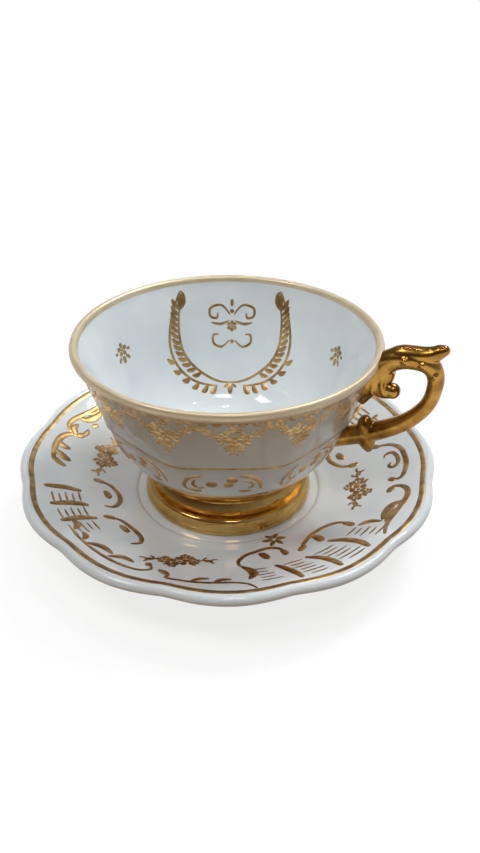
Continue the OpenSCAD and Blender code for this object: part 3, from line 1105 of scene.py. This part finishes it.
@dataclass
class Saucer:
    """The lobed saucer and the printed ornament on it."""

    palette: Palette
    edge_r: float = 58.0
    well_r: float = 26.0
    lobes: int = 12
    turn_deg: float = 22.5
    notch_depth: float = 1.5
    thickness: float = 2.8
    stand_d: float = 59.0
    stand_w: float = 3.0
    stand_outer_bevel: float = 0.4
    stand_inner_bevel: float = 0.3
    stand_slope: float = 0.8
    steps_round: int = 288
    top_shares: Points = ((0, 0, 0), (0.03, 0.05, 0), (0.14, 0.1, 0), (0.32, 0.26, 0.1), (0.52, 0.48, 0.25),
                          (0.7, 0.7, 0.5), (0.84, 0.88, 0.75), (0.905, 0.955, 0.88), (0.93, 0.966, 0.93))
    edge_shares: Points = ((0.68, 0.03), (0.4, 0), (0.2, 0.1), (0.05, 0.28), (0, 0.5), (0.08, 0.74),
                           (0.36, 0.96))
    under_shares: Points = ((0.9, 1.04, 0.9), (0.76, 1.1, 0.66), (0.56, 1.16, 0.3), (0.34, 1.16, 0.1),
                            (0.12, 1.1, 0), (0.02, 1.08, 0))

    def __post_init__(self) -> None:
        """Takes the heights from the CAD saucer and draws the outlines."""
        self.edge_z = box_mm("saucer")[1, 2]
        self.well_z = box_mm("cup_foot")[0, 2]
        rise, width = self.edge_z - self.well_z, self.edge_r - self.well_r
        self.top = smooth_line([(self.well_r + a * width, self.well_z + b * rise, c * self.notch_depth)
                                for a, b, c in self.top_shares], steps=6)
        self.edge = smooth_line([(self.edge_r - a * self.thickness, self.edge_z - b * self.thickness,
                                  self.notch_depth) for a, b in self.edge_shares], steps=4)
        stand_r = (self.stand_d + self.stand_w) / 2
        under = []
        for a, b, c in self.under_shares:
            r = stand_r + a * (self.edge_r - stand_r)
            over = np.interp(r, self.top[:, 0], self.top[:, 1])
            under.append((r, over - b * self.thickness, c * self.notch_depth))
        self.under = smooth_line(under, steps=5)
        inner_r, floor_z = stand_r - self.stand_w, self.well_z - self.thickness
        outside, inside = self.stand_outer_bevel, self.stand_inner_bevel
        self.stand = np.array([(stand_r, outside, 0), (stand_r - outside, 0, 0), (inner_r + inside, 0, 0),
                               (inner_r, inside, 0), (inner_r - self.stand_slope, floor_z, 0),
                               (0, floor_z, 0)])

    def notch_share(self, angle: np.ndarray) -> np.ndarray:
        """Share of the way from the middle of a lobe, 0, to a notch, near 1, at angles in radians.

        Args:
            angle: Angles in radians.

        Returns:
            The shares.
        """
        # A small filling rounds the bottom of each notch.
        filled = 0.03
        turned = angle - math.radians(self.turn_deg)
        return 1 - np.sqrt(np.cos(turned * self.lobes / 2) ** 2 * (1 - filled) + filled)

    def shell(self) -> Piece:
        """Turns the saucer and presses the notches between its lobes.

        Returns:
            The piece, in metres.
        """
        line = np.vstack([[0, self.well_z, 0], self.top, self.edge, self.under, self.stand])
        piece = lathe("saucer_glazed", line, self.steps_round)
        press(piece, self.notch_share)
        smooth_shaded(piece, crease_deg=40)
        return piece

    def on_top(self, flat: np.ndarray) -> np.ndarray:
        """Lays a drawing on the saucer. Its +X lies on the middle of a lobe, so it is turned as the saucer is.

        Args:
            flat: Rows of x, y and height over the saucer, in mm.

        Returns:
            Places in mm.
        """
        angle = np.arctan2(flat[:, 1], flat[:, 0]) + math.radians(self.turn_deg)
        radius = np.hypot(flat[:, 0], flat[:, 1])
        # The first points of the edge still face up, and carry the drawing on.
        facing_up = 8
        line = np.vstack([self.top, self.edge[:facing_up]])
        unpressed = radius + np.interp(radius, line[:, 0], line[:, 2]) * self.notch_share(angle)
        height = np.interp(unpressed, line[:, 0], line[:, 1]) + flat[:, 2]
        return np.c_[radius * np.cos(angle), radius * np.sin(angle), height]

    @staticmethod
    def hatching(first_deg: float, last_deg: float, count: int) -> list[Stroke]:
        """Fine dashes that run round between two ribs of a fan.

        Args:
            first_deg: Where the dashes start, at the innermost one.
            last_deg: Where they end there.
            count: Number of dashes.

        Returns:
            The dashes. They lean with the ribs, and every second one is shorter.
        """
        inner_r, pitch, lean, shorter = 42.6, 1.75, 0.33, 0.14
        rows = []
        for n in range(count):
            r = inner_r + pitch * n
            turn, inset = lean * (r - inner_r), shorter * (n % 2) * (last_deg - first_deg)
            ends = (first_deg + inset + turn, (first_deg + last_deg) / 2 + turn, last_deg - inset + turn)
            places = ((r * math.cos(math.radians(a)), r * math.sin(math.radians(a))) for a in ends)
            rows.append(swell(0.6, *places))
        return rows

    def fans(self) -> Piece:
        """Shell fans near the edge: thick ribs with fine hatching between them.

        Returns:
            The piece, in metres.
        """
        ribs = (((11.3, -40.4), (13.6, -43.0), (15.6, -46.2), (17.0, -49.6)),
                ((18.8, -37.6), (22.4, -39.4), (24.9, -42.4), (26.4, -45.8)),
                ((25.2, -30.8), (29.4, -32.4), (32.4, -35.6), (33.9, -39.2)),
                ((-40.4, -10.6), (-44.6, -11.4), (-49.4, -13.8)),
                ((-37.6, -16.2), (-41.8, -17.6), (-46.4, -21.0)),
                ((-34.6, -21.4), (-38.6, -23.6), (-42.4, -27.6)))
        strokes = [swell(2.1, *rib) for rib in ribs]
        gaps = ((-83.5, -77.5, 5), (-72, -65, 6), (-60.5, -52, 6), (-45.5, -39.5, 5), (-164.2, -158.4, 5),
                (-155.6, -149.8, 5), (-146.8, -140.6, 5))
        for first_deg, last_deg, count in gaps:
            strokes += self.hatching(first_deg, last_deg, count)
        return gold_strokes("saucer_fan_print", ring_of(strokes, 2), self.on_top, spacing=0.6)

    def scrolls(self) -> Piece:
        """C-scrolls, S-scrolls and leaves between the fans.

        Returns:
            The piece, in metres.
        """
        lines = (
            (1.4, (2.6, -39.6), (2.4, -36.6), (4.0, -33.6), (6.8, -31.6), (10.2, -30.0), (13.0, -30.9),
             (14.3, -33.6)),
            (1.4, (18.6, -33.2), (19.2, -30.0), (21.6, -25.9), (25.4, -22.9), (29.0, -22.2), (31.8, -24.0)),
            (1.4, (-32.2, -19.4), (-28.8, -19.8), (-25.4, -22.8), (-22.8, -26.6), (-22.6, -29.8),
             (-24.8, -31.2)),
            (1.4, (-37.4, -3.2), (-33.6, -4.2), (-30.8, -7.6), (-30.2, -11.0), (-31.4, -13.8),
             (-33.8, -14.4)),
            (1.2, (-15.8, -44.2), (-14.2, -46.4), (-14.4, -48.6), (-10.4, -49.5), (-5.2, -49.7), (0.6, -49.3),
             (4.2, -50.4), (6.4, -53.2)),
            (1.2, (-39.6, -29.8), (-37.0, -33.8), (-33.6, -37.6), (-29.6, -41.0), (-25.2, -43.8),
             (-21.0, -45.2), (-18.4, -43.8), (-19.0, -41.4)),
            (1.6, (44.0, -14.6), (45.0, -12.8), (47.0, -13.9), (47.9, -16.2), (47.4, -18.8), (45.8, -21.4),
             (43.4, -24.6), (41.0, -28.0), (39.4, -31.2), (38.4, -34.8)),
        )
        leaves = (
            (2.4, (2.8, -39.4), (5.0, -42.0), (5.9, -44.9), (4.7, -47.8)),
            (1.6, (-8.8, -49.4), (-6.8, -47.5), (-4.4, -47.3)),
            (1.6, (-3.6, -49.4), (-1.6, -47.6), (0.8, -47.5)),
            (2.2, (-34.6, -36.0), (-31.0, -36.0), (-28.0, -38.8)),
            (2.0, (-29.0, -40.4), (-25.6, -39.4), (-22.6, -41.4)),
            (1.8, (-40.4, -25.4), (-38.4, -27.2), (-38.6, -30.4)),
            (1.6, (-36.6, -30.4), (-35.4, -32.4), (-35.6, -34.8)),
            (2.6, (46.2, -20.6), (43.2, -21.2), (41.0, -23.8), (39.4, -27.0)),
            (1.7, (44.2, -23.4), (41.8, -24.8), (39.8, -28.6)),
            (1.8, (33.4, -26.4), (36.4, -25.8), (39.4, -27.6)),
        )
        blobs = (
            (2.2, (7.8, -32.4), (9.0, -34.2), (9.8, -36.4)),
            (1.9, (13.4, -31.6), (14.2, -33.2), (14.3, -35.0)),
            (2.4, (22.0, -26.4), (23.2, -28.2), (23.9, -30.4)),
            (2.0, (30.2, -22.8), (31.6, -24.2), (32.6, -25.8)),
            (1.9, (17.8, -33.8), (18.6, -32.2), (19.6, -30.8)),
            (2.1, (-28.6, -22.4), (-27.2, -23.8), (-26.2, -25.6)),
            (1.9, (-33.4, -19.8), (-31.6, -19.4), (-30.0, -19.6)),
            (2.1, (-34.8, -7.2), (-33.6, -8.8), (-33.3, -10.6)),
            (1.9, (-38.4, -3.4), (-36.8, -3.3), (-35.2, -3.6)),
            (2.0, (-16.6, -43.6), (-15.2, -45.2), (-14.2, -46.6)),
            (2.0, (43.4, -14.9), (44.2, -13.6), (45.4, -13.0)),
            (1.8, (-19.4, -42.4), (-19.2, -41.4), (-19.6, -40.4)),
        )
        tables = {Taper.SWELL: lines, Taper.LEAF: leaves, Taper.ROUND: blobs}
        strokes = [Stroke(width, points, taper) for taper, rows in tables.items() for width, *points in rows]
        # The curled scroll below the handle and the tuft of leaves across from it each stand once.
        curl = [swell(1.5, (44.0, 7.8), (48.0, 6.4), (50.2, 3.0), (50.4, -2.6), (49.2, -7.2), (47.4, -9.8),
                      (45.4, -9.0)),
                swell(1.3, (45.2, 1.8), (46.2, 3.1), (47.8, 2.8), (48.6, 0.6), (48.4, -2.2), (47.0, -3.6),
                      (45.8, -2.6), (46.6, -1.2)),
                Stroke(1.9, ((46.4, -9.6), (45.4, -9.2), (44.8, -8.0)), Taper.ROUND),
                Stroke(1.8, ((42.8, 8.6), (43.8, 7.8), (45.2, 7.4)), Taper.ROUND)]
        tuft = [swell(1.9, (-49.6, -0.4), (-50.2, 4.4), (-49.4, 9.6), (-47.2, 12.6), (-44.6, 13.2)),
                blade(2.2, (-49.8, 8.2), (-48.0, 6.8), (-46.0, 6.6)),
                blade(2.6, (-50.0, 4.6), (-47.8, 2.6), (-45.2, 1.4)),
                blade(2.0, (-49.8, 1.2), (-48.2, -0.6), (-46.0, -1.6)),
                blade(1.8, (-45.0, 12.8), (-46.4, 15.6), (-45.6, 18.2)),
                blade(1.6, (-44.8, 13.0), (-43.0, 15.0), (-42.6, 17.4)),
                dab(-41.0, 19.6, 2.4, 1.7, 40)]
        placed = ring_of(strokes, 2) + curl + tuft
        return gold_strokes("saucer_scroll_print", placed, self.on_top, spacing=0.5)

    def sprigs(self) -> Piece:
        """Flower sprigs between the scrolls and the well.

        Returns:
            The piece, in metres.
        """
        petal, petals, first_deg = blade(1.4, (0.4, 0.0), (1.8, 0.15), (3.3, 0.0)), 6, 12
        star = [petal.placed(turn_deg=360 / petals * k + first_deg) for k in range(petals)]
        strokes = group(star, x=11.9, y=-25.9)
        spray = posy(((0, 0, 2.5), (-3.7, 0.5, 1.9), (3.6, 0.2, 1.8), (1.6, 2.9, 1.4), (-1.9, -2.6, 1.3)))
        for side in (-1, 1):
            stem = [(side * 5.2, 0.5), (side * 6.8, 0.9), (side * 8.4, 0.3)]
            spray += leafy(stem, width=0.7, leaf=2.2, pairs=2, lean_deg=38)
            spray += [dab(side * 3.0, 2.1, 2.2, 1.1, side * 40), dab(side * 3.1, -1.7, 2.2, 1.1, -side * 35)]
        strokes += group(spray, x=-12.2, y=-37.6, turn_deg=6) + group(spray, x=36.6, y=-8.4, turn_deg=78)
        return gold_strokes("saucer_sprig_print", ring_of(strokes, 2), self.on_top, spacing=0.5)

    def edge_line(self) -> Piece:
        """Gold line that follows the lobes a little way inside the edge.

        Returns:
            The piece, in metres.
        """
        inside, wave, width = 3.2, 0.9, 1.4
        angle = np.radians(np.arange(0, 361, 1.5))
        radius = self.edge_r - inside - wave * self.notch_share(angle + math.radians(self.turn_deg))
        line = Stroke(width, tuple(zip(radius * np.cos(angle), radius * np.sin(angle))), Taper.EVEN)
        return gold_strokes("saucer_edge_gold_line", [line], self.on_top, spacing=2.0, raised=0.1)

    def build(self) -> None:
        """Makes the saucer with its gold."""
        finish_piece(self.shell(), "saucer", self.palette.glaze, "saucer")
        for piece in (self.edge_line(), self.fans(), self.scrolls(), self.sprigs()):
            finish_piece(piece, "saucer", self.palette.printed)


@dataclass(frozen=True)
class Lamp:
    """A soft square lamp that faces the cup: watts, metres, and angles from +X and over the floor."""

    name: str
    power: float
    size: float
    azimuth_deg: float
    elevation_deg: float
    distance: float = 1.0

    def build(self) -> None:
        """Adds the lamp."""
        data = bpy.data.lights.new(self.name, "AREA")
        data.energy, data.size = self.power, self.size
        az, el = math.radians(self.azimuth_deg), math.radians(self.elevation_deg)
        towards = Vector((math.cos(az) * math.cos(el), math.sin(az) * math.cos(el), math.sin(el)))
        lamp = bpy.data.objects.new(self.name, data)
        bpy.context.scene.collection.objects.link(lamp)
        lamp.rotation_euler = towards.to_track_quat("Z", "Y").to_euler()
        lamp.location = towards * self.distance


WINDOW_AZIMUTH_DEG = 67.5
LAMPS = (
    Lamp("window", 6.4, 0.34, WINDOW_AZIMUTH_DEG, 56.0, distance=1.2),
    Lamp("softbox", 2.3, 0.26, -138.0, 60.0),
    Lamp("ceiling_lamp", 1.3, 0.18, -60.0, 66.0),
    Lamp("ceiling_spot_0", 0.4, 0.03, 150.0, 62.0),
    Lamp("ceiling_spot_1", 0.4, 0.03, 110.0, 72.0),
    Lamp("ceiling_spot_2", 0.4, 0.03, 20.0, 66.0),
)


@dataclass
class Studio:
    """White floor and backdrop, soft room light, and the camera where the photograph was taken from."""

    photo_width: int = 480
    photo_height: int = 853
    focal_px: float = 735.0
    rim_px: tuple[float, float] = (227.8, 332.55)
    rim_centre_mm: tuple[float, float, float] = (0.0, 0.0, 53.2)
    distance_mm: float = 190.1
    azimuth_deg: float = 22.5
    elevation_deg: float = 25.86
    roll_rad: float = 0.0045
    sensor_mm: float = 36.0
    floor_r_m: float = 3.0
    floor_drop_mm: float = 0.02
    shadow_share: float = 0.34
    shadow_from_m: float = 0.065
    shadow_to_m: float = 0.14
    lit_card: float = 0.62
    card_light: str = "#EAEAEA"
    card_shade: str = "#E4E4E4"
    paper_mm: float = 3.0
    paper_span: tuple[float, float] = (0.4, 0.6)
    table_bounce: str = "#8A6E4A"
    room_level: float = 0.53
    room_dark: str = "#664B2E"
    room_light: str = "#D4DADF"
    room_span: tuple[float, float] = (0.2, 0.9)
    bright_side: tuple[float, float] = (0.8, 0.6)
    backdrop_full: float = 0.08
    backdrop_top: float = 0.14

    def camera(self) -> None:
        """Sets the camera from the fitted distance, angles and place of the rim in the picture."""
        az, el = math.radians(self.azimuth_deg), math.radians(self.elevation_deg)
        back = Vector((math.sin(az) * math.cos(el), -math.cos(az) * math.cos(el), math.sin(el)))
        right = Vector((math.cos(az), math.sin(az), 0))
        ahead = -back
        up = right.cross(ahead)
        yaw = math.atan((self.rim_px[0] - self.photo_width / 2) / self.focal_px)
        pitch = math.atan((self.photo_height / 2 - self.rim_px[1]) / self.focal_px)
        c, s = math.cos(yaw), math.sin(yaw)
        right, ahead = right * c + ahead * s, ahead * c - right * s
        c, s = math.cos(pitch), math.sin(pitch)
        up, ahead = up * c + ahead * s, ahead * c - up * s
        c, s = math.cos(self.roll_rad), math.sin(self.roll_rad)
        right, up = right * c - up * s, right * s + up * c
        lens = bpy.data.cameras.new("photo_camera")
        lens.lens = self.focal_px * self.sensor_mm / self.photo_height
        lens.sensor_width = self.sensor_mm
        lens.clip_start, lens.clip_end = 0.01, 20.0
        camera = bpy.data.objects.new("photo_camera", lens)
        bpy.context.scene.collection.objects.link(camera)
        turn = Matrix((right, up, -ahead)).transposed().to_4x4()
        place = (Vector(self.rim_centre_mm) + back * self.distance_mm) * MM
        camera.matrix_world = Matrix.Translation(place) @ turn
        bpy.context.scene.camera = camera

    def world(self) -> None:
        """Lights the room softly, brighter from the window's side, and shows white round the table.

        Metal and glaze see the white backdrop up to its upper edge, and the dimmer room over it.
        """
        world = bpy.data.worlds.new("white_room")
        bpy.context.scene.world = world
        nodes = Nodes(world, "Generated")
        az = math.radians(WINDOW_AZIMUTH_DEG)
        level, upwards = self.bright_side
        towards = (level * math.cos(az), level * math.sin(az), upwards)
        lit = nodes.add("VectorMath", {"operation": "DOT_PRODUCT", 1: towards}, {0: nodes.place})
        share = nodes.add("MapRange", {"From Min": -1.0, "From Max": 1.0}, {"Value": lit.outputs["Value"]})
        side = nodes.add("ValToRGB", links={"Fac": share})
        two_tones(side, self.room_dark, self.room_light, self.room_span)
        height = nodes.add("SeparateXYZ", links={"Vector": nodes.place}).outputs["Z"]
        limits = {"From Min": self.backdrop_top, "From Max": self.backdrop_full}
        backdrop = nodes.add("MapRange", limits, {"Value": height})
        path = nodes.add("LightPath").outputs
        larger, product = {"operation": "MAXIMUM"}, {"operation": "MULTIPLY"}
        shiny = nodes.add("Math", larger, {0: path["Is Glossy Ray"], 1: path["Is Transmission Ray"]})
        shiny = nodes.add("Math", product, {0: shiny, 1: backdrop})
        seen = nodes.add("Math", larger, {0: path["Is Camera Ray"], 1: shiny})
        room = nodes.add("Background", {"Strength": self.room_level}, {"Color": side})
        white = nodes.add("Background", {"Color": linear(WHITE), "Strength": 1.0})
        nodes.show(nodes.add("MixShader", links={0: seen, 1: room, 2: white}))

    def floor(self) -> None:
        """Adds the white table, with a soft shadow round the saucer that fades out into the backdrop.

        Only the camera, metal and glass see it white. To other rays it is brown wood, so that it lights the
        cup from below as a real table does.
        """
        bpy.ops.object.select_all(action="DESELECT")
        bpy.ops.mesh.primitive_circle_add(vertices=96, radius=self.floor_r_m, fill_type="NGON",
                                          location=(0, 0, -self.floor_drop_mm * MM))
        floor = bpy.context.object
        floor.name = "white_table"
        material = bpy.data.materials.new("matt_white_card")
        nodes = Nodes(material)
        paper = nodes.add("TexNoise", {"Scale": per(self.paper_mm)}, {"Vector": nodes.place})
        tone = nodes.add("ValToRGB", links={"Fac": paper})
        two_tones(tone, self.card_shade, self.card_light, self.paper_span)
        card = nodes.add("BsdfDiffuse", links={"Color": tone})
        out = nodes.add("VectorMath", {"operation": "LENGTH"}, {0: nodes.place}).outputs["Value"]
        limits = {"From Min": self.shadow_from_m, "From Max": self.shadow_to_m,
                  "To Min": self.shadow_share, "To Max": 0.0}
        near = nodes.add("MapRange", limits, {"Value": out})
        glow = nodes.add("Emission", {"Color": linear(WHITE), "Strength": 1.0})
        shown = nodes.add("MixShader", links={0: near, 1: glow, 2: card})
        # The card's share is lit to less than white, so a little glow makes up what it lacks.
        lacking = nodes.add("Math", {"operation": "MULTIPLY", 1: 1.0 - self.lit_card}, {0: near})
        lift = nodes.add("Emission", {"Color": linear(WHITE)}, {"Strength": lacking})
        shown = nodes.add("AddShader", links={0: shown, 1: lift})
        path = nodes.add("LightPath").outputs
        larger = {"operation": "MAXIMUM"}
        seen = nodes.add("Math", larger, {0: path["Is Camera Ray"], 1: path["Is Glossy Ray"]})
        seen = nodes.add("Math", larger, {0: seen, 1: path["Is Transmission Ray"]})
        table = nodes.add("BsdfDiffuse", {"Color": linear(self.table_bounce)})
        nodes.show(nodes.add("MixShader", links={0: seen, 1: table, 2: shown}))
        floor.data.materials.append(material)

    def build(self) -> None:
        """Sets the stage, the lamps and the camera."""
        bpy.context.scene.view_settings.view_transform = "Standard"
        self.world()
        self.floor()
        for lamp in LAMPS:
            lamp.build()
        self.camera()


def main() -> None:
    """Builds the set, piece by piece, and logs each part as it is built."""
    logging.basicConfig(level=logging.INFO, format="%(name)s: %(message)s")
    palette = Palette()
    bowl = Bowl(palette)
    for part in (Saucer(palette), bowl, Foot(palette), Handle(palette, bowl), Studio()):
        part.build()
        log.info("%s built", type(part).__name__)


if __name__ == "__main__":
    main()
